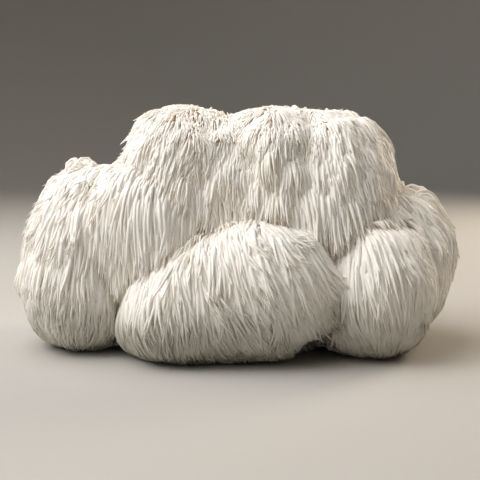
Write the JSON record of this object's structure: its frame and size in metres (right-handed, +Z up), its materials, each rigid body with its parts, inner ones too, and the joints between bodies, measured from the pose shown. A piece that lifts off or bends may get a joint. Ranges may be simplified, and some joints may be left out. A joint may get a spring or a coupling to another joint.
{
  "type": "lions mane mushroom",
  "caption": "Lion's mane mushroom, picked whole: a broad cluster of rounded lobes under a coat of long hanging ivory spines, resting on its cut stem.",
  "frame": {"origin": "under the middle of the cluster, on the surface that it rests on", "axes": "+Z up, +X along the cluster's width, to the right of someone who faces its front; the front with the large low lobe is towards -Y"},
  "size_m": [0.213, 0.1384, 0.1182],
  "materials": {
    "mushroom_flesh": "soft, matt, moist, slightly translucent ivory flesh with a coat of spines"
  },
  "bodies": {
    "root": {"mushroom": "mushroom_flesh"}
  },
  "joints": []
}
